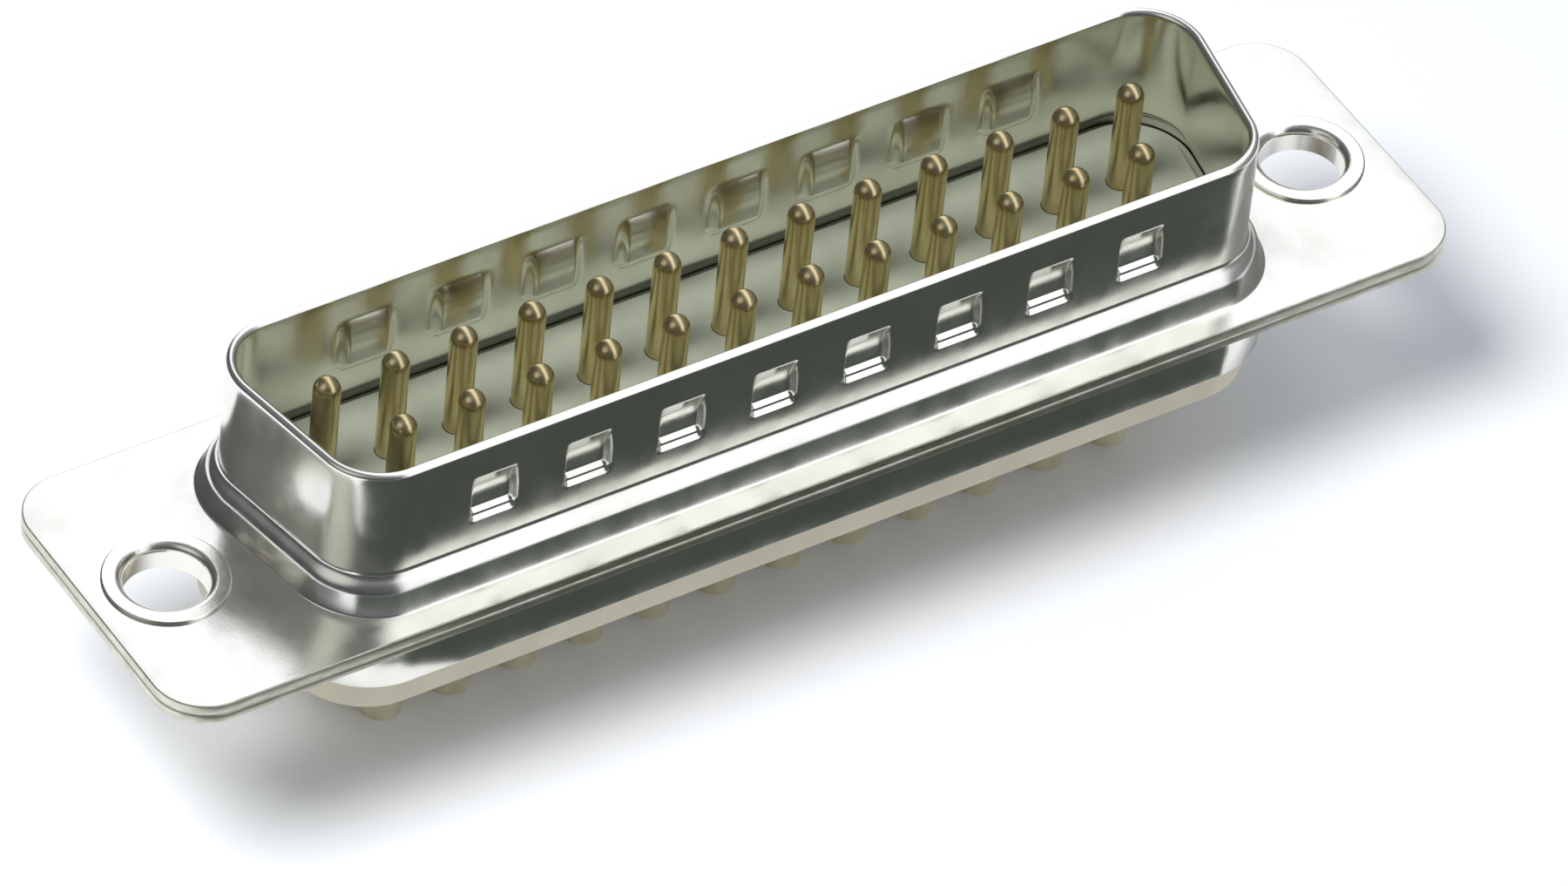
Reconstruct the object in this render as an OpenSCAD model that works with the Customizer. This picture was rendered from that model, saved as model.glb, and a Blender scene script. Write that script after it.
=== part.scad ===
// Panel-mount male D-sub connector with solder cups.
// The origin is midway between the two mounting holes, on the front face of the flange.
// +Z is the mating direction, +X runs along the connector and +Y is towards the longer row of contacts.

/* [Contacts] */
// Number of contacts in the longer row
long_row = 13; // [5:1:25]
// Distance between neighbours in a row
pin_pitch = 2.76; // [2.6:0.01:3.2]
// Distance between the two rows
row_gap = 2.84; // [2.7:0.01:3.2]
// Diameter of the mating pin
pin_d = 1; // [0.8:0.02:1.2]
// Height of the pin tips above the flange
pin_reach = 5.3; // [4.4:0.1:5.8]
// Diameter of the shoulder that the insulators trap
shoulder_d = 2; // [1.8:0.05:2.3]
// Length of that shoulder
shoulder_len = 0.8; // [0.5:0.1:1.2]
// Outer diameter of the solder cup
cup_d = 1.5; // [1.4:0.05:1.7]
// Diameter of the solder cup's bore
cup_bore_d = 1.1; // [0.8:0.05:1.15]
// Depth of the solder cup's bore
cup_depth = 3; // [2.4:0.1:3.6]
// Length of the open side of the solder cup
cup_mouth_len = 1.9; // [1:0.1:2.1]
// How far the solder cups stand out of the insulator
cup_reach = 3.9; // [2.6:0.1:6]

/* [Mating shell] */
// Thickness of both sheet-metal shells
sheet = 0.4; // [0.3:0.02:0.48]
// Room inside the shell from the last contact's centre to the end wall
end_room = 2.92; // [2.7:0.02:3.6]
// Width inside the shell, across the rows
shell_width = 8.36; // [8:0.02:9.2]
// Slant of the shell's two end walls
shell_slant = 10; // [6:1:14]
// Radius of the shell's inside corners
shell_corner_r = 2; // [1.4:0.1:2.6]
// Height of the shell's rim above the flange
shell_height = 6; // [5.6:0.1:7]
// How far the drawn step at the foot of the shell stands out
step_out = 0.52; // [0.36:0.02:0.7]
// Height at which that step leaves the straight wall
step_height = 1.5; // [1.4:0.05:1.8]
// Outside radius of the hollow above the step's shoulder
step_hollow_r = 0.4; // [0.3:0.05:0.5]
// Outside radius of the step's shoulder
step_shoulder_r = 0.8; // [0.6:0.05:0.9]
// Outside radius where a shell turns into its flange
foot_r = 0.25; // [0.2:0.05:0.3]
// Bevel on the cut edges of the sheet
edge_bevel = 0.06; // [0.03:0.01:0.1]

/* [Dimples] */
// Number of dimples along each long wall
dimple_count = 8; // [2:1:9]
// Distance between dimples
dimple_pitch = 3.8; // [3:0.05:4.1]
// Width of a dimple at the wall
dimple_width = 1.75; // [1.2:0.05:2.2]
// Depth that a dimple is pressed in
dimple_depth = 0.32; // [0.15:0.01:0.36]
// Height of a dimple on the wall
dimple_tall = 2.1; // [1.6:0.05:2.3]
// Height of the dimples' middle above the flange
dimple_z = 3.55; // [3.3:0.05:4]
// How much narrower a dimple is at its bottom, on each side
dimple_draft = 0.12; // [0.05:0.01:0.2]

/* [Flange] */
// Width of the flange, across the rows
flange_width = 12.55; // [12.3:0.05:15]
// Distance from the end of the mating shell's inside to a mounting hole
hole_beyond_shell = 4.04; // [3.9:0.02:5]
// Distance from a mounting hole to the end of the flange
hole_to_end = 3; // [2.7:0.05:5]
// Radius of the flange's corners
flange_corner_r = 2; // [0.6:0.1:2.6]

/* [Rear shell] */
// How far the rear shell's inside stands outside the mating shell's inside
rear_wider = 0.9; // [0.7:0.02:0.95]
// Depth of the rear shell's edge behind the flange's front face
rear_depth = 3.2; // [2.4:0.1:4.2]

/* [Insulators] */
// Height of the front insulator's face above the flange
face_height = 0.7; // [0.4:0.05:1.1]
// Depth of the joint between the two insulators
split_depth = 1.7; // [1.5:0.05:1.9]
// Depth of the rear insulator's back
insulator_depth = 4.8; // [4.4:0.1:6]
// Bevel around the rear insulator's back
insulator_bevel = 0.25; // [0.1:0.05:0.4]
// Gap between the insulators and the shells
shell_fit = 0.05; // [0.02:0.01:0.08]
// Gap around the contacts in the insulators
pin_fit = 0.02; // [0.01:0.01:0.05]

/* [Eyelets] */
// Diameter of the mounting bore
eyelet_bore_d = 3.05; // [2.6:0.05:3.3]
// Wall of the eyelet's tube
eyelet_wall = 0.3; // [0.22:0.02:0.36]
// How far the eyelet's heads reach past its tube
eyelet_head_w = 0.45; // [0.3:0.05:0.5]
// Thickness of the eyelet's heads
eyelet_head_t = 0.12; // [0.1:0.02:0.24]
// Radius of the flared mouth in front
mouth_r = 0.3; // [0.25:0.01:0.4]
// Gap between the eyelets and the flange holes
eyelet_fit = 0.02; // [0.01:0.01:0.05]

/* [Hidden] */
curve_fn = 96;
small_fn = 48;
// How far the straight runs of a D outline reach into its corners, and the hair by which they stand proud.
run_lap = 0.05;
hair = 0.004;

// The mating shell's inside, as four corner arcs: centre x, centre y, first normal's angle, turn.
row_len = (long_row - 1) * pin_pitch;
shell_len = row_len + 2 * end_room;
corner_y = shell_width / 2 - shell_corner_r;
wide_x = shell_len / 2 - shell_corner_r;
narrow_x = wide_x - 2 * corner_y * tan(shell_slant);
D_CORNERS = [
    [narrow_x, -corner_y, -90, 90 - shell_slant],
    [wide_x, corner_y, -shell_slant, 90 + shell_slant],
    [-wide_x, corner_y, 90, 90 + shell_slant],
    [-narrow_x, -corner_y, 180 + shell_slant, 90 - shell_slant]
];

// The drawn step: a hollow arc and a shoulder arc of the same angle, one running into the other.
step_angle = acos(1 - step_out / (step_hollow_r + step_shoulder_r));
shoulder_z = step_height - (step_hollow_r + step_shoulder_r) * sin(step_angle);
foot_wide = step_out + sheet + foot_r;

// The rear shell and the insulators, as distances outside the mating shell's inside.
rear_foot_wide = rear_wider + sheet + foot_r;
lip_wide = rear_wider - shell_fit;
bend_under_r = foot_r + sheet;
lip_z = foot_r - sqrt(pow(bend_under_r, 2) - pow(foot_wide - lip_wide, 2)) - shell_fit;
tier_wide = step_out - shell_fit;
tier_z = foot_r;

hole_x = shell_len / 2 + hole_beyond_shell;
flange_len = 2 * (hole_x + hole_to_end);
flange_x = flange_len / 2 - flange_corner_r;
flange_y = flange_width / 2 - flange_corner_r;
FLANGE_CORNERS = [
    [flange_x, -flange_y, -90, 90],
    [flange_x, flange_y, 0, 90],
    [-flange_x, flange_y, 90, 90],
    [-flange_x, -flange_y, 180, 90]
];
flange_back = -2 * sheet;
// A width of flat sheet that passes the flange's outline on every side.
blank_reach = hole_beyond_shell + hole_to_end + flange_width / 2;

eyelet_bore_r = eyelet_bore_d / 2;
eyelet_r = eyelet_bore_r + eyelet_wall;
eyelet_head_r = eyelet_r + eyelet_head_w;

shoulder_z0 = -split_depth;
cup_end = -insulator_depth - cup_reach;

// Each contact's place: x and y.
PLACES = concat(
    [for (i = [0:long_row - 1]) [row_len / 2 - i * pin_pitch, row_gap / 2]],
    [for (i = [0:long_row - 2]) [(row_len - pin_pitch) / 2 - i * pin_pitch, -row_gap / 2]]
);
function contact_name(i) = str("contact_", i < 9 ? "0" : "", i + 1);
CONTACT_NAMES = [for (i = [0:len(PLACES) - 1]) contact_name(i)];

// --- Outlines with rounded corners ---

// A point beside a corner's centre: r away, in the direction of the angle.
function beside(corner, r, angle) = [corner[0] + r * cos(angle), corner[1] + r * sin(angle)];

// A prism whose outline runs round the corner arcs at radius r.
module rounded_prism(corners, r, z0, z1) {
    side_r = r + hair;
    core = [for (c = corners) each [beside(c, side_r, c[2]), [c[0], c[1]], beside(c, side_r, c[2] + c[3])]];
    translate([0, 0, z0]) linear_extrude(z1 - z0) {
        polygon(core);
        for (c = corners) translate([c[0], c[1]]) circle(r, $fn = curve_fn);
    }
}

// A prism in the outline of the mating shell, grown by wider.
module d_prism(wider, z0, z1) {
    rounded_prism(D_CORNERS, shell_corner_r + wider, z0, z1);
}

// Sweeps a cross-section round the D. Its x is the distance outside the mating shell's inside, its y is the height.
// The straight runs lap into the corners and stand a hair proud of them, so that no two faces graze.
module d_sweep() {
    for (i = [0:3]) {
        c = D_CORNERS[i];
        next = D_CORNERS[(i + 1) % 4];
        normal = c[2] + c[3];
        run = norm([next[0] - c[0], next[1] - c[1]]);
        translate([c[0], c[1], 0]) rotate([0, 0, c[2]])
            rotate_extrude(angle = c[3], $fn = curve_fn) translate([shell_corner_r, 0]) children();
        translate([next[0], next[1], 0]) rotate([90, 0, normal]) translate([0, 0, -run_lap])
            linear_extrude(run + 2 * run_lap) translate([shell_corner_r + hair, 0]) children();
    }
}

// --- Sheet-metal cross-sections ---

// A sector of a circle, from angle a0 to angle a1 (less than half a turn).
module sector(r, a0, a1) {
    reach = 2 * r;
    middle = (a0 + a1) / 2;
    intersection() {
        circle(r, $fn = small_fn);
        polygon([
            [0, 0],
            [reach * cos(a0), reach * sin(a0)],
            [reach * cos(middle), reach * sin(middle)],
            [reach * cos(a1), reach * sin(a1)]
        ]);
    }
}

// A bend in the sheet: the stretch of ring between the two angles.
module bend(x, y, inner_r, a0, a1) {
    translate([x, y]) difference() {
        sector(inner_r + sheet, a0, a1);
        circle(inner_r, $fn = small_fn);
    }
}

module mating_section() {
    hollow_x = sheet + step_hollow_r;
    shoulder_x = step_out + sheet - step_shoulder_r;
    translate([0, step_height]) polygon([
        [0, 0],
        [sheet, 0],
        [sheet, shell_height - step_height - edge_bevel],
        [sheet - edge_bevel, shell_height - step_height],
        [edge_bevel, shell_height - step_height],
        [0, shell_height - step_height - edge_bevel]
    ]);
    bend(hollow_x, step_height, step_hollow_r, 180, 180 + step_angle);
    bend(shoulder_x, shoulder_z, step_shoulder_r - sheet, 0, step_angle);
    translate([step_out, foot_r]) square([sheet, shoulder_z - foot_r]);
    bend(foot_wide, foot_r, foot_r, 180, 270);
    translate([foot_wide, -sheet]) square([blank_reach, sheet]);
}

module rear_section() {
    translate([rear_wider, -rear_depth]) polygon([
        [0, edge_bevel],
        [edge_bevel, 0],
        [sheet - edge_bevel, 0],
        [sheet, edge_bevel],
        [sheet, rear_depth + flange_back - foot_r],
        [0, rear_depth + flange_back - foot_r]
    ]);
    bend(rear_foot_wide, flange_back - foot_r, foot_r, 90, 180);
    translate([rear_foot_wide, flange_back]) square([blank_reach, sheet]);
}

// --- Drawn sheet ---

// A sheet drawn to a cross-section, then cut to the flange's outline and pierced for the eyelets.
module drawn_sheet() {
    difference() {
        intersection() {
            d_sweep() children();
            rounded_prism(FLANGE_CORNERS, flange_corner_r, -rear_depth - 1, shell_height + 1);
        }
        for (side = [-1, 1]) translate([side * hole_x, 0, flange_back - 1])
            cylinder(r = eyelet_r + eyelet_fit, h = 2 - flange_back, $fn = curve_fn);
    }
}

// --- Dimples ---

// The form of one dimple on the wall at +Y: a shallow barrel across the wall, with sloping ends.
// grow is how much the form is larger than the pocket that shows outside.
module dimple_form(grow) {
    half = dimple_tall / 2;
    barrel_r = (half * half + dimple_depth * dimple_depth) / (2 * dimple_depth);
    outside = shell_width / 2 + sheet;
    bottom = outside - dimple_depth - grow;
    mouth = outside + grow + sheet / 4;
    w0 = dimple_width / 2 - dimple_draft + grow;
    w1 = dimple_width / 2 + dimple_draft * (mouth - outside) / dimple_depth + grow;
    intersection() {
        translate([-dimple_width - sheet, outside - dimple_depth + barrel_r, dimple_z]) rotate([0, 90, 0])
            cylinder(r = barrel_r + grow, h = 2 * (dimple_width + sheet), $fn = 2 * curve_fn);
        translate([0, 0, dimple_z - dimple_tall]) linear_extrude(2 * dimple_tall)
            polygon([[-w0, bottom], [w0, bottom], [w1, mouth], [-w1, mouth]]);
    }
}

module at_dimples() {
    for (wall = [0, 1], i = [0:dimple_count - 1])
        mirror([0, wall, 0]) translate([(i - (dimple_count - 1) / 2) * dimple_pitch, 0, 0]) children();
}

// The bulge that a dimple makes inside the wall. It ends in the middle of the sheet.
module dimple_bulge() {
    intersection() {
        dimple_form(sheet);
        translate([-dimple_width, 0, dimple_z - dimple_tall])
            cube([2 * dimple_width, shell_width / 2 + sheet / 2, 2 * dimple_tall]);
    }
}

// --- Pieces ---

module front_shell() {
    color("silver") difference() {
        union() {
            drawn_sheet() mating_section();
            at_dimples() dimple_bulge();
        }
        at_dimples() dimple_form(0);
    }
}

module rear_shell() {
    color("gainsboro") drawn_sheet() rear_section();
}

module front_insulator() {
    color("lightgray") difference() {
        union() {
            d_prism(lip_wide, -split_depth, lip_z);
            d_prism(tier_wide, -split_depth, tier_z);
            d_prism(-shell_fit, -split_depth, face_height);
        }
        for (p = PLACES) translate([p[0], p[1], -split_depth - 1]) {
            cylinder(d = pin_d + 2 * pin_fit, h = split_depth + face_height + 2, $fn = small_fn);
            cylinder(d = shoulder_d + 2 * pin_fit, h = shoulder_len + 1, $fn = small_fn);
        }
    }
}

module rear_insulator() {
    color("wheat") difference() {
        d_prism(lip_wide, -insulator_depth, -split_depth);
        d_sweep() translate([lip_wide, -insulator_depth]) polygon([
            [-2 * insulator_bevel, -insulator_bevel],
            [insulator_bevel, -insulator_bevel],
            [insulator_bevel, 2 * insulator_bevel]
        ]);
        for (p = PLACES) translate([p[0], p[1], -insulator_depth - 1])
            cylinder(d = cup_d + 2 * pin_fit, h = insulator_depth + 2, $fn = small_fn);
    }
}

module eyelet() {
    rear_z = flange_back - eyelet_head_t;
    rim_round = eyelet_head_t / 2;
    color("whitesmoke") rotate_extrude($fn = curve_fn) difference() {
        union() {
            translate([eyelet_bore_r, rear_z]) square([eyelet_wall, eyelet_head_t - rear_z]);
            for (z = [rear_z, 0]) {
                translate([eyelet_bore_r, z]) square([eyelet_head_r - rim_round - eyelet_bore_r, eyelet_head_t]);
                translate([eyelet_head_r - rim_round, z + rim_round]) circle(rim_round, $fn = small_fn);
            }
        }
        // The flared mouth: what lies outside a quarter round between the bore and the front face.
        difference() {
            translate([eyelet_bore_r - 1, eyelet_head_t - mouth_r]) square([mouth_r + 1, mouth_r + 1]);
            translate([eyelet_bore_r + mouth_r, eyelet_head_t - mouth_r]) circle(mouth_r, $fn = small_fn);
        }
    }
}

module eyelet_left() {
    translate([-hole_x, 0, 0]) eyelet();
}

module eyelet_right() {
    translate([hole_x, 0, 0]) eyelet();
}

// A contact at its own axis, its solder cup open towards +Y.
module contact_form() {
    pin_r = pin_d / 2;
    cup_r = cup_d / 2;
    difference() {
        rotate_extrude($fn = small_fn) {
            translate([0, shoulder_z0]) square([pin_r, pin_reach - pin_r - shoulder_z0]);
            translate([0, pin_reach - pin_r]) sector(pin_r, 0, 90);
            translate([0, shoulder_z0]) square([shoulder_d / 2, shoulder_len]);
            translate([0, cup_end]) square([cup_r, shoulder_z0 - cup_end]);
        }
        translate([0, 0, cup_end - 1]) cylinder(d = cup_bore_d, h = cup_depth + 1, $fn = small_fn);
        translate([-cup_d, cup_r * 0.15, cup_end - 1]) cube([2 * cup_d, cup_d, cup_mouth_len - cup_r + 1]);
        translate([-cup_d, cup_r * 1.15, cup_end + cup_mouth_len - cup_r]) rotate([0, 90, 0])
            cylinder(r = cup_r, h = 2 * cup_d, $fn = small_fn);
    }
}

module contact(i) {
    color("goldenrod") translate([PLACES[i][0], PLACES[i][1], 0]) contact_form();
}

front_shell();
rear_shell();
front_insulator();
rear_insulator();
eyelet_left();
eyelet_right();
for (i = [0:len(PLACES) - 1]) contact(i);
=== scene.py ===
"""The looks of a 25-way D-sub connector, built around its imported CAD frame."""

import math

import bpy
from mathutils import Matrix, Vector
from mathutils.geometry import delaunay_2d_cdt


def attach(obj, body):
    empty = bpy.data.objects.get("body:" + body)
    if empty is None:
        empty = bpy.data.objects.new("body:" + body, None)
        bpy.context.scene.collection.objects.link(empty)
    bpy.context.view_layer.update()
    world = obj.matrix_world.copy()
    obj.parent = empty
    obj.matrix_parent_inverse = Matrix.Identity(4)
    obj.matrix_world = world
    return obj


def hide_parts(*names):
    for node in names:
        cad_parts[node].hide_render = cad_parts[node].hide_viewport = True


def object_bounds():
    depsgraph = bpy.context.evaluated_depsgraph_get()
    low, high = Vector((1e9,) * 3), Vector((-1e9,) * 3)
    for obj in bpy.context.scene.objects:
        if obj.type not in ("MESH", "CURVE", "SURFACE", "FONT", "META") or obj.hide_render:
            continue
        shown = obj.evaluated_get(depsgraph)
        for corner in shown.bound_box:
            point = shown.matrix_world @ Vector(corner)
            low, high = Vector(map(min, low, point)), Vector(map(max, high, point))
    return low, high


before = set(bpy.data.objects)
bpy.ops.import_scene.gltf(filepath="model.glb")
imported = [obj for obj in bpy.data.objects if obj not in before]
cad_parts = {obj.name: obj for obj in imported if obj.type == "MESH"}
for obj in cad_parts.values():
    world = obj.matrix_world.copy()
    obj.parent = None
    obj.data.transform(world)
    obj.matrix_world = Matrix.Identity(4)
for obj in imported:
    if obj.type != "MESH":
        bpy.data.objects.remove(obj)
cad_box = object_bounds()

MM = 0.001

# --- Sizes of the two drawn sheets, in millimetres: the construction's, with finer edges ---

SHEET = 0.4

# The mating shell's inside: a D whose short walls slant, in degrees, with its corners' centres.
SHELL_WIDTH = 38.96
SHELL_HEIGHT = 8.36
SHELL_SLANT = 10
CORNER_R = 2.0
CORNER_Y = SHELL_HEIGHT / 2 - CORNER_R
WIDE_X = SHELL_WIDTH / 2 - CORNER_R
NARROW_X = WIDE_X - 2 * CORNER_Y * math.tan(math.radians(SHELL_SLANT))

# Its section: rim, wall, hollow, shoulder, the step's drafted wall and the bend to the flange.
RIM_Z = 6.0
RIM_ROUND = 0.19
STEP_OUT = 0.52
STEP_Z = 1.5
HOLLOW_R = 0.4
SHOULDER_R = 0.8
FOOT_R = 0.25
STEP_DRAFT = 18
BEND_R = 0.1

# The rear shell stands this much wider all round, and ends here.
REAR_WIDER = 0.9
REAR_EDGE_Z = -3.2
REAR_EDGE_ROUND = 0.07

FLANGE_WIDTH = 53.04
FLANGE_HEIGHT = 12.55
FLANGE_R = 2.0
FLANGE_X = FLANGE_WIDTH / 2 - FLANGE_R
FLANGE_Y = FLANGE_HEIGHT / 2 - FLANGE_R
FRONT_FLANGE_ROUND = 0.06
REAR_FLANGE_ROUND = 0.16
CUT_BEVEL = 0.02
HOLE_X = 23.52
HOLE_R = 1.845

DIMPLE_COUNT = 8
DIMPLE_PITCH = 3.8
DIMPLE_DEPTH = 0.32
DIMPLE_HALF_W = 0.875
DIMPLE_HALF_H = 1.05
DIMPLE_Z = 3.55
DIMPLE_INSIDE_SPREAD = 0.3

# A dimple's sides slope from inside its half width to outside it.
DIMPLE_SIDE_IN = 0.13
DIMPLE_SIDE_OUT = 0.1

# Heights within a dimple, from -1 at its lower end to 1 at its upper end. It has its full depth between
# these two. Above the crown it fades out, and below the ledges' top it comes back out in two ledges.
CROWN = -0.2
LEDGES_TOP = -0.6

# Inside the rear insulator, going down from here, each contact changes to its cups' duller finish and
# paler colour; the paler colour is partly painted light, standing in for a brighter reflection on the
# cups.
CUP_PALE_Z = -4.3
CUP_PALE_BLEND = 0.5

# How finely curves are stepped, and the angle from which an edge stays sharp.
FRONT_TURN_STEPS = 24
REAR_TURN_STEPS = 20
FLANGE_TURN_STEPS = 16
HOLE_STEPS = 64
SHARP_ANGLE = math.radians(32)

# --- Camera ---

CAMERA_TARGET = Vector((-0.87, -3.99, 0)) * MM
CAMERA_DISTANCE = 499.03 * MM
CAMERA_AZIMUTH = math.radians(-36.07)
CAMERA_ELEVATION = math.radians(43.46)
CAMERA_ROLL = math.radians(6.18)
CAMERA_LENS = 327.7
CAMERA_SENSOR = 36


def add_camera():
    data = bpy.data.cameras.new("camera")
    data.lens = CAMERA_LENS
    data.sensor_width = CAMERA_SENSOR
    data.clip_start = 0.01
    camera = bpy.data.objects.new("camera", data)
    bpy.context.scene.collection.objects.link(camera)
    turn = (
        Matrix.Rotation(CAMERA_AZIMUTH, 4, "Z")
        @ Matrix.Rotation(math.pi / 2 - CAMERA_ELEVATION, 4, "X")
        @ Matrix.Rotation(CAMERA_ROLL, 4, "Z")
    )
    back = Matrix.Translation((0, 0, CAMERA_DISTANCE))
    camera.matrix_world = Matrix.Translation(CAMERA_TARGET) @ turn @ back
    bpy.context.scene.camera = camera


# --- Outlines ---

def d_stations(turn_steps, wall_places):
    """Each station's (point on the mating shell's inside, outward normal), anticlockwise."""
    stations = []
    for cx, cy, start, turn in (
        (NARROW_X, -CORNER_Y, -90, 90 - SHELL_SLANT),
        (WIDE_X, CORNER_Y, -SHELL_SLANT, 90 + SHELL_SLANT),
        (-WIDE_X, CORNER_Y, 90, 90 + SHELL_SLANT),
        (-NARROW_X, -CORNER_Y, 180 + SHELL_SLANT, 90 - SHELL_SLANT),
    ):
        for step in range(turn_steps + 1):
            angle = math.radians(start + turn * step / turn_steps)
            normal = Vector((math.cos(angle), math.sin(angle)))
            stations.append((Vector((cx, cy)) + CORNER_R * normal, normal))
        ends_long_wall = start + turn == 90 or start + turn == 270
        if ends_long_wall:
            side = 1 if cy > 0 else -1
            for place in wall_places(abs(cx)):
                point = Vector((-side * place, side * SHELL_HEIGHT / 2))
                stations.append((point, Vector((0, side))))
    return stations


def few_places(half):
    """Even places along a plain long wall."""
    return [half * k / 8 for k in range(-7, 8)]


def dimple_places(half):
    """Places along a long wall, close together at the sides of each dimple."""
    beside = [0.3, 0.55, 0.66, 0.72, 0.77, 0.82, 0.87, 0.92, 0.97, 1.03, 1.1, 1.18, 1.28, 1.45]
    offsets = [-b for b in reversed(beside)] + [0] + beside
    return [c + b for c in dimple_centres() for b in offsets if abs(c + b) < half - 0.05]


def dimple_centres():
    return [(i - (DIMPLE_COUNT - 1) / 2) * DIMPLE_PITCH for i in range(DIMPLE_COUNT)]


def flange_outline(inset):
    """The flange's outline, drawn in by inset."""
    r = FLANGE_R - inset
    outline = []
    for sx, sy, start in ((1, -1, -90), (1, 1, 0), (-1, 1, 90), (-1, -1, 180)):
        for step in range(FLANGE_TURN_STEPS + 1):
            angle = math.radians(start + 90 * step / FLANGE_TURN_STEPS)
            outline.append((sx * FLANGE_X + r * math.cos(angle), sy * FLANGE_Y + r * math.sin(angle)))
    return outline


def circle(x, r):
    turn = 2 * math.pi / HOLE_STEPS
    return [(x + r * math.cos(turn * k), r * math.sin(turn * k)) for k in range(HOLE_STEPS)]


def arc(cx, cz, r, start, end, steps):
    """Points of an arc in a cross-section, between two angles in degrees."""
    angles = [math.radians(start + (end - start) * k / steps) for k in range(steps + 1)]
    return [(cx + r * math.cos(a), cz + r * math.sin(a)) for a in angles]


def is_inside(point, loop):
    """Whether a point lies inside a closed outline."""
    inside = False
    for (x0, y0), (x1, y1) in zip(loop, loop[1:] + loop[:1]):
        if (y0 > point[1]) != (y1 > point[1]):
            if point[0] < x0 + (point[1] - y0) * (x1 - x0) / (y1 - y0):
                inside = not inside
    return inside


# --- Dimples ---

def smooth(low, high, value):
    """0 below low and 1 above high, with an even S between them."""
    t = min(max((value - low) / (high - low), 0), 1)
    return t * t * (3 - 2 * t)


def dimple_dip(x, z, spread):
    """How far a long wall is pressed in. spread widens the form, as on the inside of the sheet."""
    off = min(abs(x - c) for c in dimple_centres())
    up = (z - DIMPLE_Z) / (DIMPLE_HALF_H + spread / 2)
    if abs(up) >= 1:
        return 0
    across = 1 - smooth(DIMPLE_HALF_W - DIMPLE_SIDE_IN, DIMPLE_HALF_W + DIMPLE_SIDE_OUT + spread, off)
    if up > LEDGES_TOP:
        along = 1 - (max(up - CROWN, 0) / (1 - CROWN)) ** 2
    else:
        # The lower end comes back out in two ledges of equal depth.
        ledge = (up + 1) / (LEDGES_TOP + 1)
        along = 0.5 * smooth(0, 0.4, ledge) + 0.5 * smooth(0.6, 1, ledge)
    return DIMPLE_DEPTH * across * along


# --- Drawn sheets ---

class Sheet:
    """The vertices and faces of one sheet-metal piece. A ring is a closed list of vertex numbers."""

    def __init__(self):
        self.verts = []
        self.faces = []
        self.cut_faces = []

    def flat_ring(self, outline, z):
        first = len(self.verts)
        self.verts += [(x, y, z) for x, y in outline]
        return list(range(first, len(self.verts)))

    def swept_ring(self, stations, wide, z, spread=None):
        """A ring round the D, wide outside its inside. Dimples are pressed in where spread is given."""
        first = len(self.verts)
        for point, normal in stations:
            dip = 0 if spread is None or normal.x else dimple_dip(point.x, z, spread)
            place = point + (wide - dip) * normal
            self.verts.append((place.x, place.y, z))
        return list(range(first, len(self.verts)))

    def bridge(self, rings):
        for a, b in zip(rings, rings[1:]):
            for k in range(len(a)):
                n = (k + 1) % len(a)
                self.faces.append((a[k], a[n], b[n], b[k]))

    def bridge_cut(self, rings):
        """Bridges rings along an edge where the sheet was cut."""
        first = len(self.faces)
        self.bridge(rings)
        self.cut_faces += range(first, len(self.faces))

    def plate(self, outer, openings, faces_up):
        """Fills a flat face between an outer ring and the rings of its openings."""
        rings = [outer] + openings
        numbers = [n for ring in rings for n in ring]
        coords = [Vector(self.verts[n][:2]) for n in numbers]
        edges = []
        for ring in rings:
            first = len(edges)
            edges += [(first + k, first + (k + 1) % len(ring)) for k in range(len(ring))]
        outlines = [[self.verts[n][:2] for n in ring] for ring in rings]
        placed, _, triangles, sources, _, _ = delaunay_2d_cdt(coords, edges, [], 0, 1e-6)
        for triangle in triangles:
            middle = sum((placed[v] for v in triangle), Vector((0, 0))) / 3
            if not is_inside(middle, outlines[0]) or any(is_inside(middle, o) for o in outlines[1:]):
                continue
            a, b, c = (placed[v] for v in triangle)
            if ((b - a).cross(c - a) > 0) != faces_up:
                triangle = triangle[::-1]
            self.faces.append([numbers[sources[v][0]] for v in triangle])

    def make(self, name, materials):
        mesh = bpy.data.meshes.new(name)
        mesh.from_pydata([Vector(v) * MM for v in self.verts], [], self.faces)
        for material in materials:
            mesh.materials.append(material)
        for number in self.cut_faces:
            mesh.polygons[number].material_index = 1
        mesh.validate()
        mesh.shade_smooth()
        mesh.set_sharp_from_angle(angle=SHARP_ANGLE)
        piece = bpy.data.objects.new(name, mesh)
        bpy.context.scene.collection.objects.link(piece)
        return piece


def drawn_sheet(name, node, materials, top, edge_round, stations, skin):
    """A drawn sheet with a flange whose upper face is at top.

    edge_round is the radius of the flange's upper edge. skin lists (wide, z, spread) from the flange's
    upper opening, over the shell's edge, to its lower opening.
    """
    sheet = Sheet()
    edge = arc(edge_round, -edge_round, edge_round, 90, 180, 6)
    edge += [(0, 2 * CUT_BEVEL - SHEET), (CUT_BEVEL, -SHEET)]
    outline = [sheet.flat_ring(flange_outline(inset), top + z) for inset, z in edge]
    swept = [sheet.swept_ring(stations, wide, z, spread) for wide, z, spread in skin]
    sheet.bridge_cut(outline[::-1])
    sheet.bridge(swept)
    holes = []
    for side in (-1, 1):
        hole = [sheet.flat_ring(circle(side * HOLE_X, HOLE_R), z) for z in (top, top - SHEET)]
        sheet.bridge(hole)
        holes.append(hole)
    sheet.plate(outline[0], [swept[0]] + [h[0] for h in holes], True)
    sheet.plate(outline[-1], [swept[-1]] + [h[1] for h in holes], False)
    piece = sheet.make(name, materials)
    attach(piece, "root")
    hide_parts(node)


def plain(points):
    """Skin places that no dimple reaches."""
    return [(wide, z, None) for wide, z in points]


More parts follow.
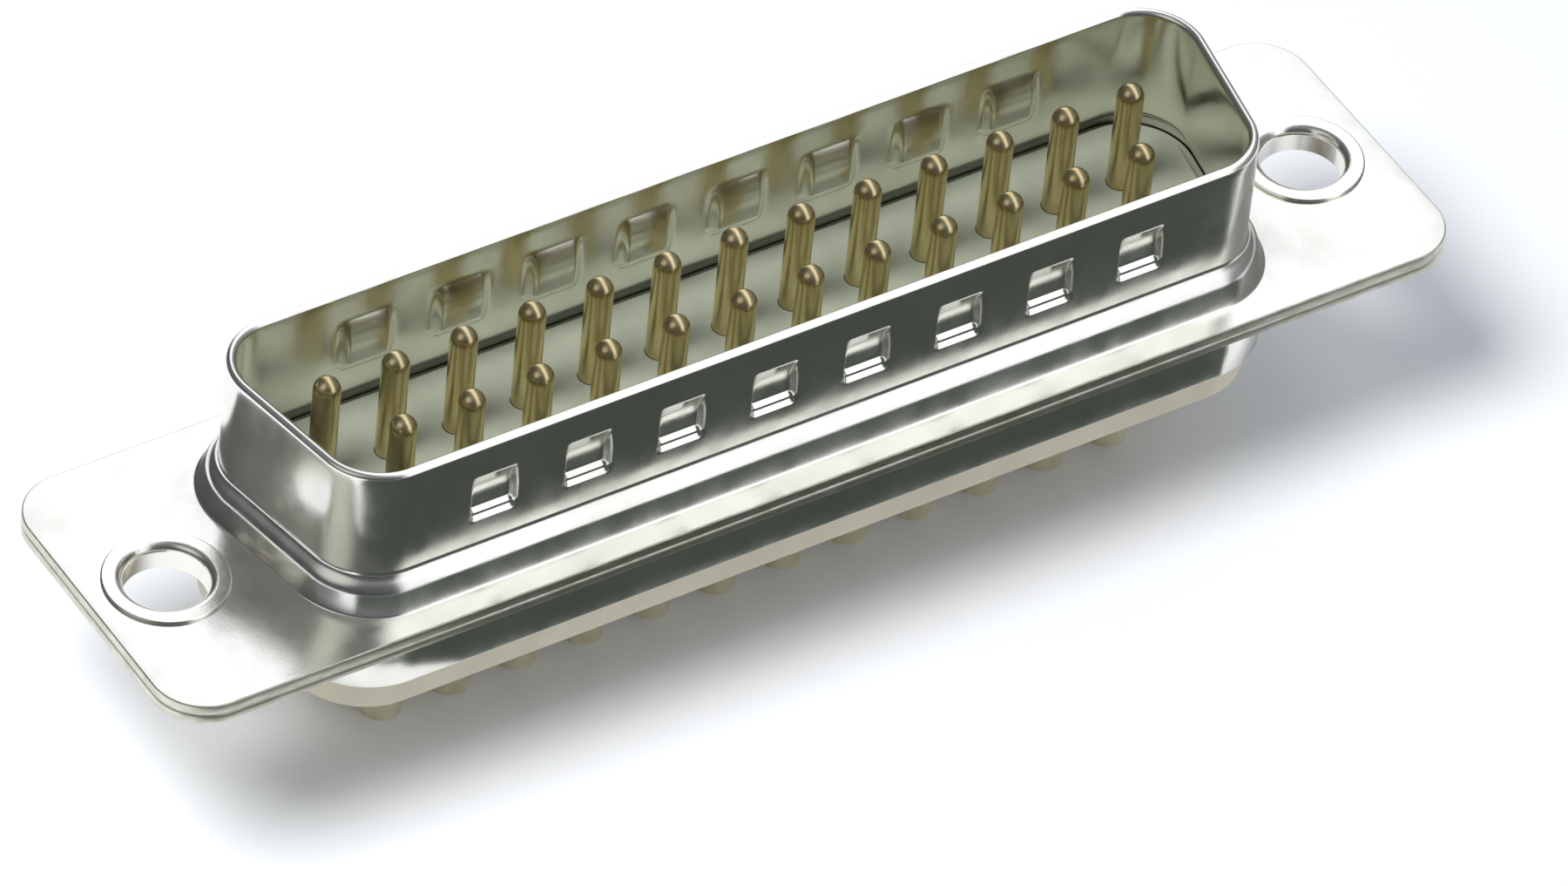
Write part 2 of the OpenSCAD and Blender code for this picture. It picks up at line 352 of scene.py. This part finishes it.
def mating_skin():
    """The front shell's section: up outside from the flange, over the rim and down inside."""
    step_angle = math.degrees(math.acos(1 - STEP_OUT / (HOLLOW_R + SHOULDER_R)))
    shoulder_z = STEP_Z - (HOLLOW_R + SHOULDER_R) * math.sin(math.radians(step_angle))
    foot = STEP_OUT + SHEET + FOOT_R
    hollow_x = SHEET + HOLLOW_R
    shoulder_x = STEP_OUT + SHEET - SHOULDER_R
    wall_top = arc(shoulder_x, shoulder_z, SHOULDER_R, STEP_DRAFT, step_angle, 12)
    wall_slope = math.tan(math.radians(STEP_DRAFT))
    bend = arc(0, BEND_R, BEND_R, 270, 180 + STEP_DRAFT, 4)
    bend_x = wall_top[0][0] + (wall_top[0][1] - bend[-1][1]) * wall_slope - bend[-1][0]
    # Close together over the dimples' height, and closest in their lower half.
    wall_z = [1.9, 2.3, 2.42] + [2.5 + 0.05 * k for k in range(24)] + [3.75 + 0.12 * k for k in range(8)]
    wall_z += [4.66, 4.74, 4.85, 5.1, 5.5]
    outer = plain(
        [(bend_x + x, z) for x, z in bend]
        + wall_top
        + arc(hollow_x, STEP_Z, HOLLOW_R, 180 + step_angle, 180, 10)
    )
    outer += [(SHEET, z, 0.0) for z in wall_z]
    rim = plain(
        arc(SHEET - RIM_ROUND, RIM_Z - RIM_ROUND, RIM_ROUND, 0, 90, 6)
        + arc(RIM_ROUND, RIM_Z - RIM_ROUND, RIM_ROUND, 90, 180, 6)
    )
    inner = [(0, z, DIMPLE_INSIDE_SPREAD) for z in reversed(wall_z)]
    inner += plain(
        arc(hollow_x, STEP_Z, HOLLOW_R + SHEET, 180, 180 + step_angle, 10)
        + arc(shoulder_x, shoulder_z, SHOULDER_R - SHEET, step_angle, 0, 8)
        + arc(foot, FOOT_R, FOOT_R + SHEET, 180, 270, 8)
    )
    return outer + rim + inner


def rear_skin():
    """The rear shell's section: down inside from the flange, round its edge and up outside."""
    foot = REAR_WIDER + SHEET + FOOT_R
    bend_z = -2 * SHEET - FOOT_R
    inside, outside = REAR_WIDER, REAR_WIDER + SHEET
    inner = arc(foot, bend_z, FOOT_R + SHEET, 90, 180, 8) + [(inside, -2.0)]
    edge = [
        (inside, REAR_EDGE_Z + REAR_EDGE_ROUND),
        (inside + CUT_BEVEL, REAR_EDGE_Z + CUT_BEVEL),
        (inside + REAR_EDGE_ROUND, REAR_EDGE_Z),
        (outside - REAR_EDGE_ROUND, REAR_EDGE_Z),
        (outside - CUT_BEVEL, REAR_EDGE_Z + CUT_BEVEL),
        (outside, REAR_EDGE_Z + REAR_EDGE_ROUND),
    ]
    outer = [(outside, -2.0)] + arc(foot, bend_z, FOOT_R, 180, 90, 6)
    return plain(inner + edge + outer)


# --- Materials ---

def set_stops(ramp, stops):
    """Gives a ramp node its (position, colour) stops."""
    elements = ramp.color_ramp.elements
    while len(elements) < len(stops):
        elements.new(0.5)
    for element, (position, color) in zip(elements, stops):
        element.position = position
        element.color = (*color, 1)


class Nodes:
    """Short calls for building a material's node tree."""

    def __init__(self, name):
        self.material = bpy.data.materials.new(name)
        self.material.use_nodes = True
        self.tree = self.material.node_tree
        self.shader = self.tree.nodes["Principled BSDF"]

    def add(self, kind, **inputs):
        node = self.tree.nodes.new(kind)
        for key, value in inputs.items():
            node.inputs[key.replace("_", " ")].default_value = value
        return node

    def link(self, source, target):
        self.tree.links.new(source, target)

    def place(self, scale):
        """Object coordinates in millimetres, stretched by scale."""
        coords = self.add("ShaderNodeTexCoord")
        mapping = self.add("ShaderNodeMapping", Scale=tuple(s / MM for s in scale))
        self.link(coords.outputs["Object"], mapping.inputs["Vector"])
        return mapping.outputs["Vector"]

    def noise(self, scale, detail=3.0):
        """Noise with scale cells to a millimetre along each axis."""
        noise = self.add("ShaderNodeTexNoise", Scale=1.0, Detail=detail, Roughness=0.55)
        self.link(self.place(scale), noise.inputs["Vector"])
        return noise.outputs["Fac"]

    def ramp(self, source, stops):
        """The (position, colour) stops, looked up by source."""
        ramp = self.add("ShaderNodeValToRGB")
        set_stops(ramp, stops)
        self.link(source, ramp.inputs["Fac"])
        return ramp.outputs["Color"]

    def range(self, source, low, high, start=0.3, end=0.7):
        """low where the source is at start or less, high where it's at end or more."""
        node = self.tree.nodes.new("ShaderNodeMapRange")
        node.inputs["From Min"].default_value = start
        node.inputs["From Max"].default_value = end
        node.inputs["To Min"].default_value = low
        node.inputs["To Max"].default_value = high
        self.link(source, node.inputs["Value"])
        return node.outputs["Result"]

    def mix(self, factor, a, b):
        """Colour a where the factor is 0, b where it's 1."""
        node = self.add("ShaderNodeMix")
        node.data_type = "RGBA"
        self.link(factor, node.inputs["Factor"])
        self.link(a, node.inputs["A"])
        self.link(b, node.inputs["B"])
        return node.outputs["Result"]

    def bump(self, heights):
        """Bumps one after another: (height, distance in millimetres, strength)."""
        normal = None
        for height, distance, strength in heights:
            bump = self.add("ShaderNodeBump", Strength=strength, Distance=distance * MM)
            self.link(height, bump.inputs["Height"])
            if normal:
                self.link(normal, bump.inputs["Normal"])
            normal = bump.outputs["Normal"]
        self.link(normal, self.shader.inputs["Normal"])


def tin_plate(name, bright, dull):
    """Bright tin plate over drawn steel: a soft gloss, faint drawing lines and slight clouding."""
    nodes = Nodes(name)
    shader = nodes.shader
    shader.inputs["Metallic"].default_value = 1
    cloud = nodes.noise((0.35, 0.35, 0.35))
    nodes.link(nodes.ramp(cloud, [(0.3, dull), (0.7, bright)]), shader.inputs["Base Color"])
    nodes.link(nodes.range(nodes.noise((0.8, 0.8, 0.5)), 0.15, 0.24), shader.inputs["Roughness"])
    drawn = nodes.noise((9, 9, 0.5), detail=2.0)
    grain = nodes.noise((7, 7, 7), detail=4.0)
    wave = nodes.noise((0.45, 0.45, 0.45), detail=1.0)
    nodes.bump([(wave, 0.05, 0.5), (drawn, 0.004, 0.35), (grain, 0.004, 0.35)])
    return nodes.material


def cut_edge():
    """The sheared edge of the sheet under its plating: rougher, with fine lines across it."""
    nodes = Nodes("cut_edge")
    shader = nodes.shader
    shader.inputs["Metallic"].default_value = 1
    cloud = nodes.noise((0.9, 0.9, 3))
    color = nodes.ramp(cloud, [(0.3, (0.62, 0.6, 0.5)), (0.7, (0.82, 0.8, 0.7))])
    nodes.link(color, shader.inputs["Base Color"])
    nodes.link(nodes.range(nodes.noise((3, 3, 6)), 0.38, 0.55), shader.inputs["Roughness"])
    nodes.bump([(nodes.noise((14, 14, 1.5), detail=2.0), 0.008, 0.5)])
    return nodes.material


def gold_plate():
    """Gold plate on the turned contacts, duller and paler on the cups below the rear insulator; their
    paler colour is partly painted light for a brighter reflection.
    """
    nodes = Nodes("gold_plate")
    shader = nodes.shader
    shader.inputs["Metallic"].default_value = 1
    cloud = nodes.noise((1.2, 1.2, 0.6))
    pin = nodes.ramp(cloud, [(0.3, (0.62, 0.51, 0.26)), (0.7, (0.76, 0.64, 0.38))])
    # The cups' paler colours are partly painted light, standing in for a brighter reflection.
    cup = nodes.ramp(cloud, [(0.3, (0.8, 0.74, 0.55)), (0.7, (0.94, 0.89, 0.72))])
    height = nodes.add("ShaderNodeSeparateXYZ")
    nodes.link(nodes.place((1, 1, 1)), height.inputs["Vector"])
    is_cup = nodes.range(height.outputs["Z"], 1, 0, CUP_PALE_Z - CUP_PALE_BLEND, CUP_PALE_Z)
    color = nodes.mix(is_cup, pin, cup)
    nodes.link(color, shader.inputs["Base Color"])
    nodes.link(nodes.range(is_cup, 0.26, 0.42, 0, 1), shader.inputs["Roughness"])
    turned = nodes.noise((1, 1, 30), detail=2.0)
    nodes.bump([(turned, 0.002, 0.3)])
    return nodes.material


def moulding(name, pale, deep):
    """Satin moulded plastic with a fine grain and a little light let in."""
    nodes = Nodes(name)
    shader = nodes.shader
    shader.inputs["Subsurface Weight"].default_value = 0.06
    shader.inputs["Subsurface Radius"].default_value = (1.0 * MM, 0.8 * MM, 0.5 * MM)
    shader.inputs["Subsurface Scale"].default_value = 0.5
    cloud = nodes.noise((0.5, 0.5, 0.5))
    nodes.link(nodes.ramp(cloud, [(0.3, deep), (0.7, pale)]), shader.inputs["Base Color"])
    nodes.link(nodes.range(nodes.noise((4, 4, 4)), 0.42, 0.55), shader.inputs["Roughness"])
    nodes.bump([(nodes.noise((12, 12, 12), detail=3.0), 0.01, 0.35)])
    return nodes.material


def set_material(node, material):
    """Dresses a piece that the scene takes from the frame as it is."""
    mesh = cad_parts[node].data
    mesh.materials.clear()
    mesh.materials.append(material)


# --- Studio ---

FLOOR_Z = cad_box[0][2]

# Half the dark card's outline: (y, half width), from its near end to its far end, in millimetres.
CARD_HALF = [(-7, 16), (-11.5, 19.5), (-13, 36), (-18, 39), (-300, 300)]
CARD_X = 4
CARD_LIFT = 0.05

KEY_DIRECTION = Vector((-5.2, -0.5, 8.7))
KEY_DISTANCE = 0.5
KEY_SIZE = 0.24
KEY_WATTS = 2.3

# (direction, [(cosine from that direction, colour)]); cosines under 0 are taken as 0.
WORLD_LOBES = [
    ((0, 0, 1), [(0.0, (0.05, 0.055, 0.06)), (0.7, (0.12, 0.13, 0.135)), (1.0, (0.24, 0.25, 0.26))]),
    (
        (1, 0, 0),
        [
            (0.12, (0, 0, 0)),
            (0.3, (1.13, 1.15, 1.22)),
            (0.53, (1.13, 1.15, 1.22)),
            (0.66, (0.16, 0.165, 0.17)),
            (1.0, (0.1, 0.1, 0.1)),
        ],
    ),
    ((-0.68, -0.05, 0.73), [(0.88, (0, 0, 0)), (0.98, (0.5, 0.5, 0.48)), (1.0, (0.55, 0.55, 0.52))]),
]


def add_floor():
    bpy.ops.mesh.primitive_plane_add(size=4, location=(0, 0, FLOOR_Z))
    floor = bpy.context.object
    floor.name = "floor"
    nodes = Nodes("floor")
    nodes.shader.inputs["Base Color"].default_value = (0.88, 0.9, 0.94, 1)
    nodes.shader.inputs["Roughness"].default_value = 0.9
    nodes.shader.inputs["Specular IOR Level"].default_value = 0.1
    floor.data.materials.append(nodes.material)


def add_dark_card():
    """A dark card on the floor before the part. Only reflections see it."""
    outline = [(CARD_X + x, y) for y, x in CARD_HALF] + [(CARD_X - x, y) for y, x in reversed(CARD_HALF)]
    mesh = bpy.data.meshes.new("dark_card")
    height = FLOOR_Z + CARD_LIFT * MM
    mesh.from_pydata([(x * MM, y * MM, height) for x, y in outline], [], [range(len(outline))])
    card = bpy.data.objects.new("dark_card", mesh)
    bpy.context.scene.collection.objects.link(card)
    nodes = Nodes("dark_card")
    nodes.shader.inputs["Base Color"].default_value = (0.045, 0.055, 0.045, 1)
    nodes.shader.inputs["Roughness"].default_value = 1
    mesh.materials.append(nodes.material)
    card.visible_camera = False
    card.visible_diffuse = False
    card.visible_shadow = False
    card.visible_transmission = False


def add_key():
    """The round lamp that casts the shadow. Reflections don't see it."""
    light = bpy.data.lights.new("key", "AREA")
    light.shape = "DISK"
    light.size = KEY_SIZE
    light.energy = KEY_WATTS
    light.color = (1, 0.99, 0.97)
    lamp = bpy.data.objects.new("key", light)
    toward = KEY_DIRECTION.normalized()
    lamp.location = toward * KEY_DISTANCE
    lamp.rotation_euler = toward.to_track_quat("Z", "Y").to_euler()
    lamp.visible_glossy = False
    bpy.context.scene.collection.objects.link(lamp)


def add_world():
    """A dim studio with a white bank of light to the right and a softer patch high on the left."""
    world = bpy.data.worlds.new("studio")
    world.use_nodes = True
    tree = world.node_tree
    background = tree.nodes["Background"]
    coords = tree.nodes.new("ShaderNodeTexCoord")
    value = None
    for direction, stops in WORLD_LOBES:
        dot = tree.nodes.new("ShaderNodeVectorMath")
        dot.operation = "DOT_PRODUCT"
        dot.inputs[1].default_value = Vector(direction).normalized()
        tree.links.new(coords.outputs["Generated"], dot.inputs[0])
        lobe = tree.nodes.new("ShaderNodeValToRGB")
        set_stops(lobe, stops)
        tree.links.new(dot.outputs["Value"], lobe.inputs["Fac"])
        if value is None:
            value = lobe.outputs["Color"]
        else:
            add = tree.nodes.new("ShaderNodeMix")
            add.data_type = "RGBA"
            add.blend_type = "ADD"
            add.inputs["Factor"].default_value = 1
            tree.links.new(value, add.inputs["A"])
            tree.links.new(lobe.outputs["Color"], add.inputs["B"])
            value = add.outputs["Result"]
    tree.links.new(value, background.inputs["Color"])
    background.inputs["Strength"].default_value = 1.0
    bpy.context.scene.world = world


# --- The part ---

add_camera()
scene = bpy.context.scene
scene.view_settings.view_transform = "Standard"

shell_tin = tin_plate("shell_tin", (0.92, 0.91, 0.85), (0.83, 0.82, 0.75))
cut_tin = cut_edge()
sheet_materials = [shell_tin, cut_tin]
front_stations = d_stations(FRONT_TURN_STEPS, dimple_places)
rear_stations = d_stations(REAR_TURN_STEPS, few_places)
drawn_sheet(
    "front_shell_sheet",
    "front_shell",
    sheet_materials,
    0,
    FRONT_FLANGE_ROUND,
    front_stations,
    mating_skin(),
)
drawn_sheet(
    "rear_shell_sheet",
    "rear_shell",
    sheet_materials,
    -SHEET,
    REAR_FLANGE_ROUND,
    rear_stations,
    rear_skin(),
)

eyelet_tin = tin_plate("eyelet_tin", (0.92, 0.9, 0.83), (0.84, 0.82, 0.74))
for node in ("eyelet_left", "eyelet_right"):
    set_material(node, eyelet_tin)
set_material("front_insulator", moulding("front_moulding", (0.39, 0.425, 0.335), (0.33, 0.355, 0.28)))
set_material("rear_insulator", moulding("rear_moulding", (0.71, 0.66, 0.51), (0.63, 0.58, 0.44)))
gold = gold_plate()
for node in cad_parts:
    if node.startswith("contact_"):
        set_material(node, gold)

add_floor()
add_dark_card()
add_world()
add_key()
